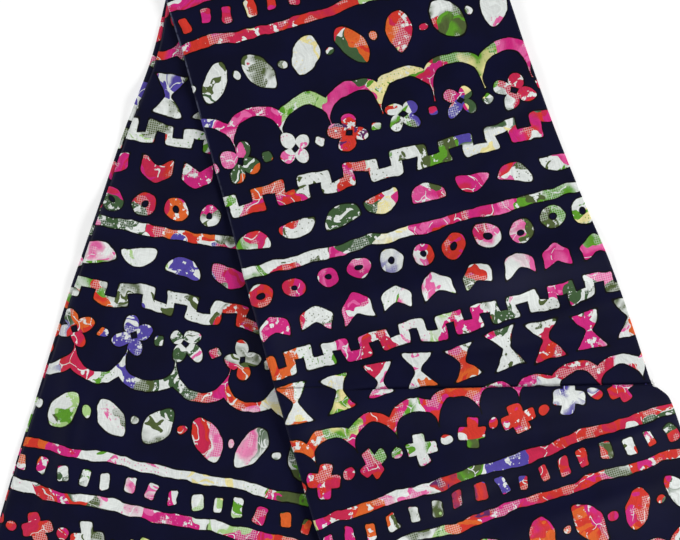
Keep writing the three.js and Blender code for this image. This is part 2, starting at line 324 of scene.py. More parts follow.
def flower(across, up, width):
    outwards = (abs(across) + abs(up)) * DIAGONAL
    beside = (abs(across) - abs(up)) * DIAGONAL
    petal = distance((outwards - width * 0.29) * 0.8, beside) - width * 0.185
    return rounded(petal, width * 0.07 - distance(across, up))


def half_disc(across, up, width):
    return rounded(distance(across, up + width / 4) - width / 2, -(up + width / 4))


def ring(across, up, width, hole):
    middle = (width + hole) / 4
    return abs(distance(across, up) - middle) - (width - hole) / 4


def arrowhead(across, up, width, height):
    middle = height / 6 - distance(across, CORNER_ROUNDING) * height / width / 1.5
    return rounded(abs(up - middle) - height / 3.4, abs(across) - width / 2)


def hourglass(across, up, width, height):
    flank = (abs(across) - distance(up, CORNER_ROUNDING) * width / height) * 0.78 - 1
    return rounded(flank, abs(up) - height / 2)


def cross(across, up, width, arm):
    longest = larger(abs(across), abs(up))
    shortest = smaller(abs(across), abs(up))
    return rounded(longest - width / 2, shortest - arm / 2)


def scallop(across, up, width, rise, thickness):
    radius = (width * width / 4 + rise * rise) / (rise * 2)
    arc = abs(distance(across, up + radius - rise / 2) - radius) - thickness / 2
    return larger(arc, -(up + rise * 2))


def stepped_line(across, up, width, rise, thickness):
    past_riser = width / 4 - abs(across)
    tread_middle = fade(past_riser, -2, 2) * rise - rise / 2
    tread = abs(up - tread_middle) - thickness / 2
    riser = rounded(abs(past_riser), abs(up) - rise / 2) - thickness / 2
    return smaller(tread, riser)


SHAPES = [
    stripe, disc, block, leaf, flower, half_disc, ring, arrowhead, hourglass, cross, scallop, stepped_line
]


def shape_group(shape):
    """Gives the distance to a shape's edge, in millimetres and negative inside it."""
    count = shape.__code__.co_argcount
    names = [name.capitalize() for name in shape.__code__.co_varnames[:count]]
    title = shape.__name__.replace("_", " ").capitalize()
    tree, fields, way_out = new_group(title, dict.fromkeys(names, "Float"), {"Distance": "Float"})
    plug(shape(*fields), way_out.inputs["Distance"])
    return tree


SHAPE_GROUPS = {shape: shape_group(shape) for shape in SHAPES}


def place_in_row():
    """Finds the nearest shape of a row and the place measured from its middle. Sway turns each
    shape by chance and Lean to alternate sides, both in radians. Flip turns every other one over."""
    names = ["Along", "Up", "Spacing", "Shift", "Sway", "Lean", "Flip", "Seed"]
    tree, fields, way_out = new_group(
        "Place in a row", dict.fromkeys(names, "Float"), {"Across": "Float", "Up": "Float"}
    )
    along, up, spacing, shift, sway, lean, flip, seed = fields
    steps = along / spacing + shift
    number = calculate("FLOOR", steps)
    across = (steps - number - 0.5) * spacing
    side = calculate("WRAP", number, 2.0, 0.0) * 2 - 1
    spot = add_node(tree, "ShaderNodeCombineXYZ", {"X": number, "Y": seed})
    chances = add_node(
        tree, "ShaderNodeTexWhiteNoise", {"Vector": Field(spot.outputs[0])}, noise_dimensions="2D"
    )
    turning, growing, rising = parts(Field(chances.outputs["Color"]), "Color")
    raised = up + (rising - 0.5) * OUT_OF_LINE
    turn = (turning - 0.5) * sway + side * lean
    size = growing * SIZE_SPREAD + SMALLEST_SIZE
    sine = calculate("SINE", turn) * size
    cosine = calculate("COSINE", turn) * size
    plug(across * cosine + raised * sine, way_out.inputs["Across"])
    turned_over = 1 - flip * (side + 1)
    plug((raised * cosine - across * sine) * turned_over, way_out.inputs["Up"])
    return tree


PLACE_IN_ROW = place_in_row()

# Rows of the print, in order down the repeat: the shape, the row's middle, the shape's sizes,
# and for a row of separate shapes their spacing and how they turn.
PRINT_ROWS = [
    (stripe, 10, (13,), {}),
    (block, 37, (12, 20), {"Spacing": 27, "Sway": 0.5}),
    (stripe, 64, (11,), {}),
    (leaf, 112, (31, 58), {"Spacing": 58, "Sway": 0.4, "Lean": 0.45}),
    (disc, 112, (10,), {"Spacing": 58, "Shift": 0.5}),
    (scallop, 166, (62, 17, 12), {}),
    (flower, 212, (45,), {"Spacing": 68, "Sway": 1.0}),
    (block, 212, (11, 11), {"Spacing": 68, "Shift": 0.5, "Sway": 1.2}),
    (stepped_line, 261, (58, 16, 12), {}),
    (half_disc, 306, (44,), {"Spacing": 54, "Sway": 0.5, "Flip": 1}),
    (stripe, 343, (12,), {}),
    (ring, 373, (28, 9), {"Spacing": 40}),
    (arrowhead, 414, (36, 34), {"Spacing": 50, "Sway": 0.3}),
    (stepped_line, 460, (46, 15, 11), {}),
    (hourglass, 507, (36, 46), {"Spacing": 52, "Sway": 0.35}),
    (scallop, 557, (52, 13, 12), {}),
    (cross, 603, (38, 15), {"Spacing": 62, "Sway": 0.8}),
    (disc, 603, (13,), {"Spacing": 62, "Shift": 0.5}),
]


def pushed(place, size, reach):
    """The place, pushed about by as much as reach on average, in clouds of this size."""
    pushes = noise(place, size, output="Color")
    centred = calculate("SUBTRACT", pushes, (0.5, 0.5, 0.5), kind="ShaderNodeVectorMath")
    far = (reach * 2, reach * 2, 0)
    return calculate("MULTIPLY_ADD", centred, far, place, kind="ShaderNodeVectorMath")


def printed_rows():
    tree, (cut,), way_out = new_group("Printed rows", {"Place": "Vector"}, {"Distance": "Float"})
    for size, reach in SCISSOR_WANDER:
        cut = pushed(cut, size, reach)
    along, down, _ = parts(cut)
    down = calculate("WRAP", down, float(PRINT_REPEAT), 0.0)
    nearest = None
    for number, (shape, middle, sizes, spread) in enumerate(PRINT_ROWS):
        across = along
        up = middle - down
        if shape in (scallop, stepped_line):
            across = calculate("WRAP", along, sizes[0] / 2, -sizes[0] / 2)
        if spread:
            feeds = {"Along": along, "Up": up, "Seed": number * SEED_STEP, **spread}
            across, up = use_group(tree, PLACE_IN_ROW, feeds)
        [edge] = use_group(tree, SHAPE_GROUPS[shape], dict(enumerate([across, up, *sizes])))
        nearest = edge if nearest is None else smaller(nearest, edge)
    plug(nearest, way_out.inputs["Distance"])
    return tree


PRINTED_ROWS = printed_rows()


# --------------------------------------
# Inside the cut-out shapes shows a painting of loose petals and leaves: flat patches of colour,
# each blotted and specked with a second one, with white splashes, fine veins, and here and there
# the hatching of a coarse canvas.
# --------------------------------------
CHALK = (0.65, 0.68, 0.66)
CREAM = (0.72, 0.64, 0.30)
ORANGE = (0.60, 0.105, 0.02)
RED = (0.54, 0.032, 0.020)
CRIMSON = (0.49, 0.018, 0.065)
MAGENTA = (0.53, 0.018, 0.175)
PINK = (0.67, 0.115, 0.32)
OLIVE = (0.070, 0.098, 0.030)
FOREST = (0.045, 0.092, 0.036)
LEAF_GREEN = (0.095, 0.28, 0.020)
PALE_GREEN = (0.34, 0.52, 0.20)
VIOLET = (0.075, 0.055, 0.31)
PLUM = (0.10, 0.02, 0.10)

# How much of the painting each patch takes, its colour and the colour blotted into it.
PATCHES = [
    (0.09, CHALK, LEAF_GREEN),
    (0.09, RED, MAGENTA),
    (0.05, OLIVE, LEAF_GREEN),
    (0.08, CHALK, PINK),
    (0.09, ORANGE, RED),
    (0.07, MAGENTA, PINK),
    (0.10, CHALK, OLIVE),
    (0.09, CRIMSON, RED),
    (0.04, VIOLET, CHALK),
    (0.04, CHALK, PALE_GREEN),
    (0.02, RED, PLUM),
    (0.03, PALE_GREEN, LEAF_GREEN),
    (0.03, CREAM, LEAF_GREEN),
    (0.05, MAGENTA, CRIMSON),
    (0.07, FOREST, CHALK),
    (0.06, CHALK, CREAM),
]

PATCH_SIZE = 50
BRUSH_SWIRL = 42
BRUSH_REACH = 30
STROKE_WIDTH = 3.5
STROKE_LENGTH = 26
BLEND_SIZE = 34
BLOT_SIZE = 21
SPLASH_SIZE = 11
VEIN_SPACING = 26
SPECK_SPACING = 6
CANVAS_SPACING = 2.6


def cells(place, size, output, feature="F1"):
    """A pattern of cells about this size."""
    feeds = {"Vector": place, "Scale": 1 / size}
    settings = {"voronoi_dimensions": "2D", "feature": feature}
    node = add_node(place.socket.id_data, "ShaderNodeTexVoronoi", feeds, **settings)
    return Field(node.outputs[output])


def shaded(colour, light):
    tree = colour.socket.id_data
    node = add_node(tree, "ShaderNodeVectorMath", {0: colour}, operation="SCALE")
    plug(light, node.inputs["Scale"])
    return Field(node.outputs[0])


def mix_colours(share, first, second):
    tree = share.socket.id_data
    node = add_node(tree, "ShaderNodeMix", {0: share}, data_type="RGBA")
    plug(first, node.inputs[6])
    plug(second, node.inputs[7])
    return Field(node.outputs[2])


def pick_colour(chance, column):
    """Picks one of the patches' colours by chance."""
    node = add_node(chance.socket.id_data, "ShaderNodeValToRGB", {0: chance})
    stops = node.color_ramp
    stops.interpolation = "CONSTANT"
    start = 0.0
    for number, patch in enumerate(PATCHES):
        stop = stops.elements[0] if number == 0 else stops.elements.new(start)
        stop.position = start
        stop.color = (*patch[column], 1)
        start += patch[0]
    stops.elements.remove(stops.elements[-1])
    return Field(node.outputs[0])


def painted_petals():
    tree, (place,), way_out = new_group("Painted petals", {"Place": "Vector"}, {"Colour": "Color"})
    brush = pushed(place, BRUSH_SWIRL, BRUSH_REACH)
    which, other, _ = parts(cells(brush, PATCH_SIZE, "Color"), "Color")
    main = pick_colour(which, 1)
    partner = pick_colour(which, 2)
    blend = noise(brush, BLEND_SIZE, 1)
    colour = mix_colours(fade(blend, 0.42, 0.66) * fade(other, 0.5, 0.51), main, partner)
    blot = noise(brush, BLOT_SIZE, 1.5)
    colour = mix_colours(fade(blot, 0.605, 0.615), colour, partner)
    ragged = noise(place, SPLASH_SIZE, 4, 0.6)
    splash = fade(ragged, 0.60, 0.62) * fade(other, 0.42, 0.41)
    colour = mix_colours(splash, colour, (*CHALK, 1))
    vein = fade(cells(brush, VEIN_SPACING, "Distance", "DISTANCE_TO_EDGE"), 0.032, 0.018)
    broken = vein * fade(ragged, 0.44, 0.47) * fade(other, 0.68, 0.69)
    colour = mix_colours(broken, colour, (*CHALK, 1))
    speck = fade(cells(place, SPECK_SPACING, "Distance"), 0.17, 0.11) * fade(blend, 0.5, 0.53)
    colour = mix_colours(speck * 0.75, colour, partner)
    along_weft, along_warp, _ = parts(place)
    turn = CANVAS_SPACING / (2 * math.pi)
    canvas = larger(calculate("SINE", along_weft / turn), calculate("SINE", along_warp / turn))
    hatched = fade(canvas, 0.55, 0.8) * fade(noise(place, BLEND_SIZE), 0.57, 0.60)
    colour = mix_colours(hatched * 0.45, colour, (*CHALK, 1))
    strokes = noise(stretched(brush, STROKE_WIDTH, STROKE_LENGTH), 1, 3)
    plug(shaded(colour, strokes * 0.4 + 0.69), way_out.inputs["Colour"])
    return tree


PAINTED_PETALS = painted_petals()

# The dyed ground, the line round each shape, and what the two are like on the cloth.
NAVY = (0.0003, 0.0006, 0.0115, 1)
WORN_NAVY = (0.0008, 0.0012, 0.0175, 1)
BLACK_LINE = (0.0006, 0.0006, 0.0012, 1)
# A pale navy painted along the right leg's sharp left fold as a highlight, standing for the fold's sheen.
PRESSED_NAVY = (0.085, 0.095, 0.150, 1)
WEAR_SIZE = 70
# The size of the broken patches of that painted highlight.
PRESSED_WEAR_SIZE = 9
OUTLINE_WIDTH = 1.5
DYED_ROUGHNESS = 0.58
PRINT_IS_SMOOTHER = 0.04
THREAD_RELIEF = 0.12


def printed_cotton():
    cotton = bpy.data.materials.new("printed_cotton")
    cotton.use_nodes = True
    tree = cotton.node_tree
    shader = tree.nodes["Principled BSDF"]
    threads = add_node(tree, "ShaderNodeAttribute", attribute_name="threads")
    place = Field(threads.outputs["Vector"])
    [edge] = use_group(tree, PRINTED_ROWS, {"Place": place})
    [petals] = use_group(tree, PAINTED_PETALS, {"Place": place})
    feeds = {"Place": place, "Thread spacing": THREAD_SPACING}
    thread_height, shade = use_group(tree, PLAIN_WEAVE, feeds)
    cloudy = noise(place, WEAR_SIZE, 3)
    ground = mix_colours(fade(cloudy, 0.3, 0.7), NAVY, WORN_NAVY)
    printed = fade(edge, 0.3, -0.3)
    outlined = fade(edge, OUTLINE_WIDTH + 0.4, OUTLINE_WIDTH - 0.2)
    colour = mix_colours(outlined, ground, BLACK_LINE)
    colour = mix_colours(printed, colour, petals)
    # A pale highlight painted along the pressed fold, broken into patches, stands for the fold's sheen.
    folds = add_node(tree, "ShaderNodeAttribute", attribute_name="pressed")
    patchy = fade(noise(place, PRESSED_WEAR_SIZE, 3), 0.3, 0.55)
    colour = mix_colours(Field(folds.outputs["Fac"]) * patchy * 0.75, colour, PRESSED_NAVY)
    plug(shaded(colour, shade), shader.inputs["Base Color"])
    plug(DYED_ROUGHNESS - printed * PRINT_IS_SMOOTHER, shader.inputs["Roughness"])
    shader.inputs["Specular IOR Level"].default_value = 0.115
    shader.inputs["Sheen Weight"].default_value = 0.015
    shader.inputs["Sheen Roughness"].default_value = 0.4
    bump = add_node(tree, "ShaderNodeBump", {"Height": thread_height})
    bump.inputs["Strength"].default_value = 0.25
    bump.inputs["Distance"].default_value = THREAD_RELIEF * MM
    plug(Field(bump.outputs[0]), shader.inputs["Normal"])
    return cotton


COTTON = printed_cotton()


# --------------------------------------
# The left leg is laid down first. Its two lower layers are one stretch of cloth, folded over
# along the left, where the fold looks out past the free edge of the layer on top.
# --------------------------------------
CLOTH = 0.5
PLY = 1.2
SEAM = 0.3
INNER_HEIGHT = 2 * PLY
LEG_HEIGHT = INNER_HEIGHT + SEAM + PLY

GRID = 4.0
FACE_COLUMNS = 108
HIDDEN_COLUMNS = 84
FOLD_REACH = 2.4
TURNED_UNDER = 6.0
TURN_PUFF_REACH = 90
INNER_PRINT_MOVES = (37, 14)

# The left leg from the top turn to its cut end: both sides, and how far the lower layers show.
LEFT_LEG = [
    (-233, 463, 174, 482, 3.0),
    (-251, 390, 154, 378, 6.5),
    (-287, 294, 131, 252, 5.5),
    (-319, 198, 109, 136, 4.5),
    (-352, 102, 87, 24, 4.5),
    (-382, 6, 68, -80, 3.0),
    (-412, -90, 48, -184, 2.5),
    (-440, -186, 30, -282, 2.0),
    (-461, -258, 16, -354, 1.5),
    (-481, -325, 3, -421, 0.0),
]
TURN_LINE = (LEFT_LEG[0][:2], LEFT_LEG[0][2:4])

# Soft swells and creases: middle, half length and half width, direction of the length in
# degrees, and height. A trough has a height below zero. Each bends aside a little on its way.
CREASE_BEND = 0.12
CREASE_WAVE = 2.2
LEFT_LEG_SWELLS = [
    (-250, 340, 60, 24, 22, 5.5),
    (-258, 206, 100, 33, 26, 8.5),
    (-262, 98, 110, 24, -12, 2.6),
    (-347, -42, 180, 18, 87, 3.4),
    (-100, 24, 115, 20, -66, 3.6),
    (-190, 44, 90, 34, -12, 3.4),
    (-260, -130, 120, 30, -14, 3.0),
    (-250, -280, 120, 34, -13, 3.0),
]
LEFT_LEG_CREASES = [
    (-246, 392, 36, 5, 74, 0.8),
    (-214, 330, 60, 7, 78, -0.9),
    (-238, 236, 70, 9, -4, 0.9),
    (-206, 214, 46, 6, -28, -0.6),
    (-263, 131, 90, 9, -12, -1.8),
    (-228, 96, 80, 8, -10, 0.7),
    (-296, 66, 64, 7, 66, -0.7),
    (-180, 20, 70, 10, -16, 0.9),
    (-330, -16, 80, 8, 74, 0.8),
    (-236, -66, 90, 9, -14, -0.7),
    (-140, -120, 60, 8, 60, 0.8),
    (-380, -150, 70, 8, 70, 0.9),
    (-262, -206, 110, 10, -10, 0.9),
    (-120, -300, 90, 9, -16, 0.8),
    (-360, -290, 60, 7, -8, -0.6),
]


def smooth(value, start, end):
    share = np.clip((value - start) / (end - start), 0, 1)
    return share * share * (3 - 2 * share)


def direction(line):
    start, end = np.array(line)
    return (end - start) / np.linalg.norm(end - start)


def left_of_line(place, line):
    """How far a place lies to the left of a line, seen along it."""
    along_x, along_y = direction(line)
    off = place - line[0]
    return along_x * off[..., 1] - along_y * off[..., 0]


def below_turn(place):
    return -left_of_line(place, TURN_LINE)


def relief(table, place):
    """The height that swells or creases add at a place. They fade out at the top turn."""
    height = np.zeros(place.shape[:-1])
    for middle_x, middle_y, long, wide, turn, rise in table:
        cosine = math.cos(math.radians(turn))
        sine = math.sin(math.radians(turn))
        off_x = place[..., 0] - middle_x
        off_y = place[..., 1] - middle_y
        along = (off_x * cosine + off_y * sine) / long
        bend = CREASE_BEND * wide * np.sin(CREASE_WAVE * along)
        beside = (off_y * cosine - off_x * sine + bend) / wide
        height += rise * np.exp(-(along**2) - beside**2)
    return height * smooth(below_turn(place), 0, TURN_PUFF_REACH)


def smooth_line(points, steps):
    """A smooth curve through points. Steps count them: 1.5 is between the second and the third."""
    points = np.asarray(points, float)
    padded = np.vstack([2 * points[0] - points[1], points, 2 * points[-1] - points[-2]])
    index = np.clip(np.floor(steps).astype(int), 0, len(points) - 2)
    share = (steps - index)[:, None]
    before, here, there, after = (padded[index + offset] for offset in range(4))
    leaving = (there - before) / 2
    arriving = (after - here) / 2
    cubic = 2 * (here - there) + leaving + arriving
    square = 3 * (there - here) - 2 * leaving - arriving
    return cubic * share**3 + square * share**2 + leaving * share + here


def rows_through(sections):
    """Rows across a leg, about a grid's spacing apart, as left and right ends and the peek."""
    sections = np.asarray(sections, float)
    middles = (sections[:, 0:2] + sections[:, 2:4]) / 2
    gaps = np.linalg.norm(np.diff(middles, axis=0), axis=1)
    counts = np.maximum(1, np.round(gaps / GRID)).astype(int)
    steps = [np.arange(count) / count + number for number, count in enumerate(counts)]
    steps = np.append(np.concatenate(steps), len(sections) - 1)
    rows = smooth_line(sections, steps)
    return rows[:, 0:2], rows[:, 2:4], rows[:, 4:]


def rolled_edge(height, under=TURNED_UNDER, steps=9):
    """A folded edge, from what is turned under up to the flat top: how far in it lies, which
    share of the height it is down, and how far in it would lie if the cloth were unrolled."""
    turn = np.linspace(math.pi, 0, steps)
    inset = FOLD_REACH * (1 - np.sin(turn))
    down = (1 - np.cos(turn)) / 2
    if under:
        inset = np.append(FOLD_REACH + under, inset)
        down = np.append(1, down)
    travel = np.hypot(np.diff(inset), np.diff(down) * height)
    unrolled = FOLD_REACH - np.append(np.cumsum(travel[::-1])[::-1], 0)
    return inset, down, unrolled


def plain_edge(inset=0.0, sag=0.0, over=9.0, steps=4):
    """A cut edge that hangs down a little towards the layer under it."""
    share = np.linspace(0, 1, steps)
    across = inset + over * share
    return across, sag * (1 - share) ** 2, across


def spread(left, right, left_edge, right_edge, columns=FACE_COLUMNS):
    """Points across each row: their place, their place if the folds were unrolled, and the
    share of each edge's drop."""
    width = np.linalg.norm(right - left, axis=1)[:, None]
    along = (right - left) / width
    flat = np.linspace(0, 1, columns + 1)[1:-1]
    start = left_edge[0][-1]
    end = width - right_edge[0][-1]
    middle = start + (end - start) * flat

    def whole(column):
        first = np.broadcast_to(left_edge[column], (len(left), len(left_edge[column])))
        last = width - right_edge[column][::-1]
        return np.hstack([first, middle, last])

    def placed(inset):
        return left[:, None, :] + along[:, None, :] * inset[:, :, None]

    left_down = np.concatenate([left_edge[1], np.zeros(len(flat) + len(right_edge[1]))])
    right_down = np.concatenate([np.zeros(len(flat) + len(left_edge[1])), right_edge[1][::-1]])
    return placed(whole(0)), placed(whole(2)), left_down[None, :], right_down[None, :]


SPINE = (-60.0, 1300.0)
SPINE_STEP = 2.0


def along_threads(place, corner, start, way, turns):
    """Weft and warp distances on a leg. The threads begin at a corner, where the warp distance
    is start, and the weft's slope in degrees follows turns, a table of warp distance and slope.
    The warp distance grows down the leg where way is 1 and shrinks where it is -1."""
    x = place[..., 0]
    y = place[..., 1]
    travel = np.arange(*SPINE, SPINE_STEP)
    slope = np.radians(np.interp(travel, [row[0] for row in turns], [row[1] for row in turns]))
    step = np.diff(travel, append=travel[-1] + SPINE_STEP)
    spine_x = np.cumsum(np.sin(slope) * step)
    spine_y = np.cumsum(-np.cos(slope) * step)
    spine_x += corner[0] - np.interp(0, travel, spine_x)
    spine_y += corner[1] - np.interp(0, travel, spine_y)
    down = corner[1] - y
    for _ in range(8):
        turn = np.interp(down, travel, slope)
        off_x = x - np.interp(down, travel, spine_x)
        off_y = y - np.interp(down, travel, spine_y)
        down = down + off_x * np.sin(turn) - off_y * np.cos(turn)
    weft = off_x * np.cos(turn) + off_y * np.sin(turn)
    return np.stack([weft, start + way * down], axis=-1)


# The weft falls to the right on the left leg, a little more steeply towards the cut end. The
# cloth that the top turn takes up lies between the two legs.
TURN_TAKES_UP = 21.5
LEFT_LEG_WEFT = [(0, -10.2), (330, -10.6), (620, -12.1), (900, -12.6)]


def left_leg_threads(place):
    return along_threads(place, LEFT_LEG[0][:2], -TURN_TAKES_UP, -1, LEFT_LEG_WEFT)


def left_leg_inner_top(place):
    return INNER_HEIGHT + relief(LEFT_LEG_SWELLS, place) + 0.5 * relief(LEFT_LEG_CREASES, place)


def left_leg_top(place):
    return LEG_HEIGHT + relief(LEFT_LEG_SWELLS, place) + relief(LEFT_LEG_CREASES, place)


def make_sheet(name, layers, flipped=(), pressed=None):
    """A thin cloth from one or more grids of points with their threads, in millimetres. The
    cloth's thickness goes inwards from each grid. A flipped grid has its outside below. The last
    argument tells how strongly a pale highlight is painted at each point, along a sharply pressed fold."""
    points = []
    threads = []
    faces = []
    for number, (grid, grid_threads) in enumerate(layers):
        rows, columns = grid.shape[:2]
        first = sum(len(part) for part in points)
        index = first + np.arange(rows * columns).reshape(rows, columns)
        corners = [index[:-1, :-1], index[1:, :-1], index[1:, 1:], index[:-1, 1:]]
        if number in flipped:
            corners.reverse()
        faces.append(np.stack(corners, axis=-1).reshape(-1, 4))
        points.append(grid.reshape(-1, 3))
        threads.append(grid_threads.reshape(-1, 2))
    mesh = bpy.data.meshes.new(name)
    mesh.from_pydata((np.vstack(points) * MM).tolist(), [], np.vstack(faces).tolist())
    threads = np.vstack(threads)
    woven = mesh.attributes.new("threads", "FLOAT_VECTOR", "POINT")
    woven.data.foreach_set("vector", np.column_stack([threads, np.zeros(len(threads))]).ravel())
    # Each point's strength of the pale highlight painted along the fold.
    worn = mesh.attributes.new("pressed", "FLOAT", "POINT")
    if pressed is not None:
        worn.data.foreach_set("value", pressed.ravel())
    mesh.shade_smooth()
    mesh.materials.append(COTTON)
    sheet = bpy.data.objects.new(name, mesh)
    bpy.context.collection.objects.link(sheet)
    thickness = sheet.modifiers.new("cloth_thickness", "SOLIDIFY")
    thickness.thickness = CLOTH * MM
    thickness.offset = -1
    return sheet


def at_height(place, height):
    return np.dstack([place, np.broadcast_to(height, place.shape[:2])])


left_side, right_side, peek = rows_through(LEFT_LEG)
fold = rolled_edge(INNER_HEIGHT, under=0)
inner_place, inner_unrolled, inner_fold_down, _ = spread(
    left_side, right_side, fold, plain_edge(FOLD_REACH), HIDDEN_COLUMNS
)
bottom_place = inner_place[:, ::-1][:, : -len(fold[0])]
inner_layer = at_height(inner_place, left_leg_inner_top(inner_place) * (1 - inner_fold_down))
folded = np.concatenate([at_height(bottom_place, 0), inner_layer], axis=1)
bottom_threads = left_leg_threads(bottom_place) * (-1, 1)
inner_threads = left_leg_threads(inner_unrolled) + INNER_PRINT_MOVES
folded_threads = np.concatenate([bottom_threads, inner_threads], axis=1)
under_layers = make_sheet("left_leg_under_layers", [(folded[:-1], folded_threads[:-1])])
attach(under_layers, "root")
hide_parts("left_leg_inner_layers")


# --------------------------------------
# The top layer of the left leg. Its free edge lies on the fold below it, and on the right it
# rolls round the other two layers and under them.
# --------------------------------------
leg_width = np.linalg.norm(right_side - left_side, axis=1)[:, None]
face_left = left_side + (right_side - left_side) / leg_width * peek
left_face_place, left_face_unrolled, free_down, roll_down = spread(
    face_left, right_side, plain_edge(sag=0.7), rolled_edge(LEG_HEIGHT)
)
left_face_height = (left_leg_top(left_face_place) - free_down) * (1 - roll_down)
left_face = make_sheet(
    "left_leg_top_layer",
    [(at_height(left_face_place, left_face_height), left_leg_threads(left_face_unrolled))],
)
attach(left_face, "root")
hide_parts("left_leg_face")


# --------------------------------------
# The right leg comes down from the top turn and lies on the left one, then drapes off it to the
# table. Its two lower layers are hidden but for their edges and ends.
# --------------------------------------
RIGHT_LEG_LIFT = LEG_HEIGHT + SEAM
MIDDLE_LAYER_DOWN = 1.9
DRAPE_START = 25
DRAPE_END = 125
LEGS_PART_Y = -384
RIGHT_LEG_DOWN_Y = -456
TURN_PUFF = 4.0
LEFT_LEG_RIGHT_SIDE = (LEFT_LEG[0][2:4], LEFT_LEG[-1][2:4])

# The right leg from the top turn to the crest of the tuck, and from there to the cut end.
RIGHT_LEG_UPPER = [
    (-232, 463, 174, 482),
    (-208, 384, 185, 450),
    (-183, 294, 205, 392),
    (-159, 210, 232, 318),
    (-139, 132, 268, 228),
    (-122, 72, 305, 140),
    (-110, 28, 331, 66),
    (-100, -7, 352, 1),
]
RIGHT_LEG_LOWER = [
    RIGHT_LEG_UPPER[-1],
    (-97, -18, 361, -5),
    (-92, -35, 371, -13),
    (-85, -60, 377, -24),
    (-76, -90, 382, -37),
    (-59, -150, 392, -66),
    (-40, -210, 407, -108),
    (-22, -270, 424, -154),
    (-4, -330, 441, -202),
    (14, -390, 456, -252),
    (30, -444, 469, -298),
    (43, -490, 481, -337),
]
CREST_LINE = (RIGHT_LEG_LOWER[0][:2], RIGHT_LEG_LOWER[0][2:4])

RIGHT_LEG_SWELLS = [
    (122, 130, 195, 28, 12, 9.8),
    (170, -4, 210, 36, 1, 4.8),
    (-196, 330, 110, 30, -74, 3.2),
    (-120, 60, 120, 42, -74, 6.5),
    (-68, -108, 110, 34, -73, 3.6),
    (-30, 410, 40, 26, 60, 3.0),
    (90, 340, 140, 36, 15, 4.4),
    (0, 210, 90, 30, 22, 4.2),
    (301, -72, 100, 28, 17, 3.6),
    (241, -162, 120, 26, 20, 3.2),
    (60, -130, 130, 34, 18, 4.2),
    (130, -300, 190, 38, 20, 4.4),
]
RIGHT_LEG_CREASES = [
    (-150, 330, 60, 6, -76, 0.8),
    (-96, 392, 70, 9, 8, 0.9),
    (20, 412, 90, 8, 18, -0.9),
    (112, 372, 70, 9, 30, 1.0),
    (-60, 300, 90, 8, 20, -0.8),
    (60, 282, 100, 10, 12, 0.9),
    (172, 300, 60, 8, 52, -0.9),
    (-104, 190, 50, 7, 10, 0.8),
    (10, 206, 80, 9, 24, -0.7),
    (120, 214, 90, 10, 8, 1.0),
    (206, 190, 60, 7, 40, 0.8),
    (-60, 96, 70, 8, 16, 0.9),
    (70, 84, 60, 8, -10, -0.7),
    (170, 44, 110, 8, 6, -1.1),
    (262, 92, 80, 9, 16, 1.3),
    (30, 26, 70, 8, 4, 0.9),
    (286, 30, 50, 7, 12, -0.8),
    (-62, -50, 60, 8, 24, 0.9),
    (70, -64, 90, 8, 10, -0.8),
    (200, -50, 110, 9, 6, 1.1),
    (318, -62, 60, 8, 20, 1.2),
    (20, -140, 80, 9, 22, 0.9),
    (160, -128, 80, 8, 28, -0.8),
    (290, -140, 90, 10, 18, 1.1),
    (80, -240, 110, 10, 16, 1.0),
    (240, -250, 80, 8, 34, -0.9),
    (350, -230, 60, 9, 60, 0.9),
    (130, -340, 120, 10, 18, 1.0),
    (300, -340, 90, 9, 12, -0.8),
    (120, -430, 80, 9, 24, 0.8),
]


def right_leg_underside(place):
    past_left_leg = left_of_line(place, LEFT_LEG_RIGHT_SIDE)
    over_left_leg = 1 - smooth(past_left_leg, DRAPE_START, DRAPE_END)
    above_the_ends = smooth(place[..., 1], RIGHT_LEG_DOWN_Y, LEGS_PART_Y)
    puff = TURN_PUFF * (1 - smooth(below_turn(place), 0, TURN_PUFF_REACH))
    below = relief(LEFT_LEG_SWELLS, place)
    return (RIGHT_LEG_LIFT + puff + below) * over_left_leg * above_the_ends


def right_leg_relief(place):
    return relief(RIGHT_LEG_SWELLS, place) + relief(RIGHT_LEG_CREASES, place)


def right_leg_top(place):
    return right_leg_underside(place) + LEG_HEIGHT + right_leg_relief(place)


upper_left, upper_right, _ = rows_through(RIGHT_LEG_UPPER)
lower_left, lower_right, _ = rows_through(RIGHT_LEG_LOWER)
hidden_left = np.vstack([upper_left, lower_left[1:-1]])
hidden_right = np.vstack([upper_right, lower_right[1:-1]])

# The weft rises to the right on the right leg, and more steeply below the tuck.
RIGHT_LEG_WEFT = [(0, 15.4), (260, 14.9), (480, 14.1), (900, 14.1)]
BELOW_TUCK_WEFT = [(0, 18.1)]
WEFT_STEEPENS_OVER = 90
ANCHOR = (126.0, -2.0)


def upper_threads(place):
    return along_threads(place, RIGHT_LEG_UPPER[0][:2], 0, 1, RIGHT_LEG_WEFT)


def middle_layer_top(place):
    return right_leg_top(place) - MIDDLE_LAYER_DOWN


def hidden_layer(height, left_inset, right_inset):
    """A layer under the right leg's face, with its edges this far in."""
    place, _, _, _ = spread(
        hidden_left, hidden_right, plain_edge(left_inset), plain_edge(right_inset), HIDDEN_COLUMNS
    )
    return at_height(place, height(place)), upper_threads(place)


middle_layer = hidden_layer(middle_layer_top, left_inset=8.8, right_inset=6.0)
lowest_layer = hidden_layer(right_leg_underside, left_inset=12.0, right_inset=8.8)
right_under_layers = make_sheet("right_leg_under_layers", [middle_layer, lowest_layer], flipped=[1])
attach(right_under_layers, "root")
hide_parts("right_leg_inner_layers")


# --------------------------------------
# The top layer of the right leg is one stretch of cloth with the outside of the top turn. Part
# of the way down it is pinched into a flat tuck that deepens to the right: the cloth goes in
# under the tuck's crest, turns back, and rolls over the crest to run on down the leg.
# --------------------------------------
TUCK_DEPTH = 12.5
TUCK_FROM_X = -29
TUCK_TO_X = 352
TUCK_HEIGHT = 2 * (PLY + SEAM)
CREST_FALLS_OVER = 38
CREST_ROLL_GROWS_OVER = 30
TURN_DEPTH = 7.7
TURN_HEIGHT = RIGHT_LEG_LIFT + TURN_PUFF + LEG_HEIGHT
TURN_STEPS = 20
LEAST_BEND = 0.3

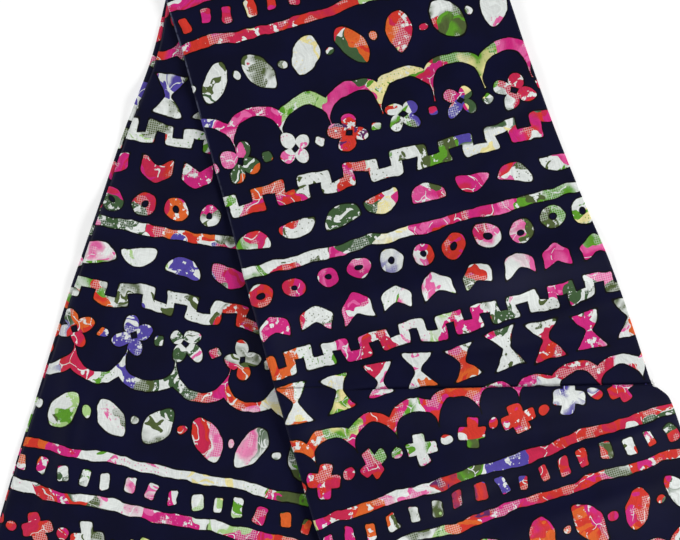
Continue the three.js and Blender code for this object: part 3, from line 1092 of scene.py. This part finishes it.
# Where the tuck runs out it softens to a ridge that reaches this far above the crest.
CREST_RISES = (-95, 10)
TUCK_SHARPENS = (-35, 25)
RIDGE_REACH = 15
TUCK_BEGINS_ABOVE = 3.0
TUCK_ENDS_BELOW = 2.6
LEAST_DEPTH = 2.2
RETURN_HEIGHT = 0.75
NOSE_REACH = 1.1
NOSE_POINTS = 7
LEG_LEANS = 0.28

# The fold along the left of the leg is pressed sharp. A pale highlight is painted along it,
# brightest near the top: its strength down the fold, by the share of its drop, and then down the leg.
FOLD_SHINE = ([0, 0.02, 0.4, 0.7], [0, 0.8, 0.7, 0])
FOLD_SHINE_FADES = ([-10, 0, 110, 200, 420, 1000], [0.4, 1.0, 0.8, 0.4, 0.1, 0.1])
FOLD_COLUMN = 12


def tuck_depth(place):
    return TUCK_DEPTH * np.clip((place[..., 0] - TUCK_FROM_X) / (TUCK_TO_X - TUCK_FROM_X), 0, 1)


def crest_height(place):
    return TUCK_HEIGHT * smooth(place[..., 0], *CREST_RISES)


def how_sharp(place):
    """1 where the tuck is folded sharp, 0 where it is still a soft ridge."""
    return smooth(place[..., 0], *TUCK_SHARPENS)


def below_crest(place):
    return -left_of_line(place, CREST_LINE)


def before_tucking(place):
    """Where a place below the tuck was before the tuck took up its cloth."""
    return np.stack([place[..., 0], place[..., 1] - 2 * tuck_depth(place)], axis=-1)


def lower_threads(place):
    """Below the tuck the threads go on where those above it went in, then turn to their own
    slope."""
    going_on = upper_threads(before_tucking(place))
    anchor_weft, anchor_warp = upper_threads(before_tucking(np.array(ANCHOR)))
    own = along_threads(place, ANCHOR, anchor_warp, 1, BELOW_TUCK_WEFT) + (anchor_weft, 0)
    share = smooth(below_crest(place), 0, WEFT_STEEPENS_OVER)
    return going_on + (own - going_on) * share[..., None]


def place_over_crest(place, unrolled, below, gone_by):
    """Moves points that lie along the crest down the leg: the cloth itself by below, and its
    place before it was tucked by the cloth that has gone by."""
    aside = LEG_LEANS * below
    moved = np.dstack([place[..., 0] + aside, place[..., 1] - below])
    flat = np.dstack([unrolled[..., 0] + aside, unrolled[..., 1] - gone_by])
    return moved, flat


left_roll = rolled_edge(INNER_HEIGHT)
right_roll = rolled_edge(LEG_HEIGHT)


def turn_to_tuck():
    """From the top turn to the tuck. The crest begins as a soft ridge where the tuck runs out."""
    place, unrolled, left_down, right_down = spread(upper_left, upper_right, left_roll, right_roll)
    ridge = crest_height(place) * smooth(below_crest(place), -RIDGE_REACH, TUCK_ENDS_BELOW)
    raised = right_leg_relief(place)
    edges_drop = left_down * (INNER_HEIGHT + raised) + right_down * (LEG_HEIGHT + raised)
    height = right_leg_top(place) + ridge * (1 - how_sharp(place)) - edges_drop
    return at_height(place, height)[1:-1], upper_threads(unrolled)[1:-1]


def folds_of_tuck(crest):
    """The points on the way through the tuck: how far below the crest each lies, how high above
    the leg, and how much cloth has gone by. The depth is at least what the folds need."""
    depth = np.maximum(tuck_depth(crest), LEAST_DEPTH)
    flat = 0 * depth
    nose = np.linspace(0, math.pi, NOSE_POINTS)[:, None] + flat
    nose_below = NOSE_REACH * (1 - np.sin(nose))
    nose_height = (RETURN_HEIGHT + TUCK_HEIGHT) / 2 - (TUCK_HEIGHT - RETURN_HEIGHT) / 2 * np.cos(nose)
    going_in = [flat - TUCK_BEGINS_ABOVE, flat - 1, depth / 2, depth - RETURN_HEIGHT, depth]
    coming_back = [depth - RETURN_HEIGHT, depth / 2 + NOSE_REACH / 2]
    below = np.vstack([*going_in, *coming_back, nose_below, flat + TUCK_ENDS_BELOW])
    gone_by = np.vstack([
        *going_in,
        *(2 * depth - back for back in coming_back),
        2 * depth - nose_below * np.cos(nose),
        2 * depth + TUCK_ENDS_BELOW,
    ])
    height = np.vstack([
        *[flat] * (len(going_in) - 1),
        flat + RETURN_HEIGHT / 2,
        *[flat + RETURN_HEIGHT] * len(coming_back),
        nose_height,
        flat + TUCK_HEIGHT,
    ])
    return below, height, gone_by


def through_tuck():
    """Through the tuck. To the left of where it runs out, the cloth goes straight on."""
    crest, unrolled, left_down, right_down = spread(
        upper_left[-1:], upper_right[-1:], left_roll, right_roll
    )
    folded_below, folded_height, folded_gone_by = folds_of_tuck(crest)
    share = np.linspace(0, 1, len(folded_below))[:, None]
    straight = share * (TUCK_ENDS_BELOW + TUCK_BEGINS_ABOVE) - TUCK_BEGINS_ABOVE
    sharp = how_sharp(crest)
    below = straight + (folded_below - straight) * sharp
    gone_by = straight + (folded_gone_by - straight) * sharp
    gone_by += (2 * tuck_depth(crest) + TUCK_ENDS_BELOW - gone_by[-1]) * share
    ridge = smooth(below, -RIDGE_REACH, TUCK_ENDS_BELOW) * (1 - sharp)
    rise = crest_height(crest) * (ridge + sharp * folded_height / TUCK_HEIGHT)
    place, flat = place_over_crest(crest, unrolled, below, gone_by)
    edges_drop = left_down * (INNER_HEIGHT + right_leg_relief(place)) + right_down * PLY
    height = right_leg_top(place) + rise - edges_drop
    return at_height(place, height), upper_threads(flat)


def tuck_to_end():
    """From the crest to the cut end. The crest comes down past the end of the tuck."""
    place, unrolled, left_down, right_down = spread(lower_left, lower_right, left_roll, right_roll)
    below = below_crest(place)
    rise = crest_height(place) * (1 - smooth(below, TUCK_DEPTH, TUCK_DEPTH + CREST_FALLS_OVER))
    raised = right_leg_relief(place)
    grown = smooth(below, 0, CREST_ROLL_GROWS_OVER)
    right_drop = PLY + (LEG_HEIGHT + raised + rise - PLY) * grown
    edges_drop = left_down * (INNER_HEIGHT + raised) + right_down * right_drop
    height = right_leg_top(place) + rise - edges_drop
    return at_height(place, height)[2:], lower_threads(unrolled)[2:]


def turned_over(place, unrolled, drop, deep, high, steps):
    """Bends a row of cloth over the top turn, from the left leg's side to the right leg's. The
    drop draws its rolled edges in towards the middle of the turn."""
    along_x, along_y = direction(TURN_LINE)
    outwards = np.array([-along_y, along_x])
    turn = np.linspace(-math.pi / 2, math.pi / 2, steps)[:, None]
    out = SEAM + np.maximum(deep - drop, LEAST_BEND) * np.cos(turn)
    height = TURN_HEIGHT / 2 + np.maximum(high - drop, LEAST_BEND) * np.sin(turn)
    bent = place + out[..., None] * outwards
    passed = (math.pi / 2 - turn) / math.pi * TURN_TAKES_UP
    flat = unrolled + passed[..., None] * outwards
    return at_height(bent, height), upper_threads(flat)


seam, seam_unrolled, left_down, right_down = spread(
    upper_left[:1], upper_right[:1], left_roll, right_roll
)
seam_drop = left_down * INNER_HEIGHT + right_down * LEG_HEIGHT
turn = turned_over(seam, seam_unrolled, seam_drop, TURN_DEPTH, TURN_HEIGHT / 2, TURN_STEPS)
grids, grid_threads = zip(turn, turn_to_tuck(), through_tuck(), tuck_to_end())
face_threads = np.concatenate(grid_threads)
# The pale highlight painted along the left fold: strong on its rolled edge, brightest near the top.
on_the_fold = np.interp(left_down, *FOLD_SHINE)
fading = np.interp(face_threads[:, FOLD_COLUMN, 1], *FOLD_SHINE_FADES)
right_face = make_sheet(
    "right_leg_top_layer",
    [(np.concatenate(grids), face_threads)],
    pressed=on_the_fold * fading[:, None],
)
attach(right_face, "root")
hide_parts("right_leg_upper_face", "right_leg_lower_face", "top_turn")


# --------------------------------------
# Inside the top turn the cloth's other two layers go round with the outer one, one within the
# other. Nothing but the fold holds them.
# --------------------------------------
INNER_TURN_STEPS = 13


def layer_inside_turn(inset, inside):
    """A layer that lies this far inside the outer one, its edges this far in."""
    edge = plain_edge(inset)
    place, unrolled, _, _ = spread(upper_left[:1], upper_right[:1], edge, edge)
    deep = TURN_DEPTH - inside
    high = TURN_HEIGHT / 2 - inside
    return turned_over(place, unrolled, 0, deep, high, INNER_TURN_STEPS)


second_layer = layer_inside_turn(inset=2.6, inside=2.3)
innermost_layer = layer_inside_turn(inset=4.4, inside=3.8)
turn_inside = make_sheet("top_turn_inside_layers", [second_layer, innermost_layer])
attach(turn_inside, "root")
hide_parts("top_turn_inner_layers")


# --------------------------------------
# At the outer end of the tuck a few white yarns have worked loose from the folded edge. Each is
# still caught in the weave at one end and curls away from it to the table.
# --------------------------------------
YARN_ROOT = (352.5, -1.5, 3.2)
YARN_COUNT = 14
YARN_THICKNESS = 0.42
YARN_COLOUR = (0.66, 0.67, 0.64, 1)
YARN_SIDES = 5
YARN_STEPS = 7
YARN_FALLS = 0.25
ROOTS_SPREAD = (1.5, 2.5, 0.6)


def yarn_path(chance):
    """A loose yarn's points: it starts near the root and curls off to the right."""
    start = np.array(YARN_ROOT) + chance.uniform(-1, 1, 3) * ROOTS_SPREAD
    heading = chance.uniform(-75, 55)
    curl = chance.uniform(-28, 28)
    step = chance.uniform(1.0, 1.6)
    points = [start]
    for _ in range(YARN_STEPS):
        heading += curl
        way = np.array([math.cos(math.radians(heading)), math.sin(math.radians(heading)), -YARN_FALLS])
        points.append(points[-1] + way * step)
    points = np.array(points)
    points[:, 2] = np.maximum(points[:, 2], YARN_THICKNESS / 2)
    return points


def yarn_tube(points):
    along = np.gradient(points, axis=0)
    side = np.cross(along, (0, 0, 1))
    side /= np.linalg.norm(side, axis=1)[:, None]
    up = np.cross(side, along)
    up /= np.linalg.norm(up, axis=1)[:, None]
    turn = np.linspace(0, 2 * math.pi, YARN_SIDES + 1)[:, None]
    ring_out = side[:, None, :] * np.cos(turn) + up[:, None, :] * np.sin(turn)
    return points[:, None, :] + ring_out * YARN_THICKNESS / 2


chance = np.random.default_rng(7)
tubes = [yarn_tube(yarn_path(chance)) for _ in range(YARN_COUNT)]
yarn_index = np.arange(tubes[0].shape[0] * (YARN_SIDES + 1)).reshape(-1, YARN_SIDES + 1)
yarn_corners = [yarn_index[:-1, :-1], yarn_index[:-1, 1:], yarn_index[1:, 1:], yarn_index[1:, :-1]]
yarn_faces = np.stack(yarn_corners, axis=-1).reshape(-1, 4)
all_faces = np.vstack([yarn_faces + number * yarn_index.size for number in range(YARN_COUNT)])
yarn_mesh = bpy.data.meshes.new("loose_yarns")
yarn_mesh.from_pydata((np.concatenate(tubes).reshape(-1, 3) * MM).tolist(), [], all_faces.tolist())
yarn_mesh.shade_smooth()
yarn_cotton = bpy.data.materials.new("white_yarn")
yarn_cotton.use_nodes = True
yarn_shader = yarn_cotton.node_tree.nodes["Principled BSDF"]
yarn_shader.inputs["Base Color"].default_value = YARN_COLOUR
yarn_shader.inputs["Roughness"].default_value = 0.8
yarn_shader.inputs["Specular IOR Level"].default_value = 0.2
yarn_mesh.materials.append(yarn_cotton)
loose_yarns = bpy.data.objects.new("loose_yarns", yarn_mesh)
bpy.context.collection.objects.link(loose_yarns)
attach(loose_yarns, "root")


low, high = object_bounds()
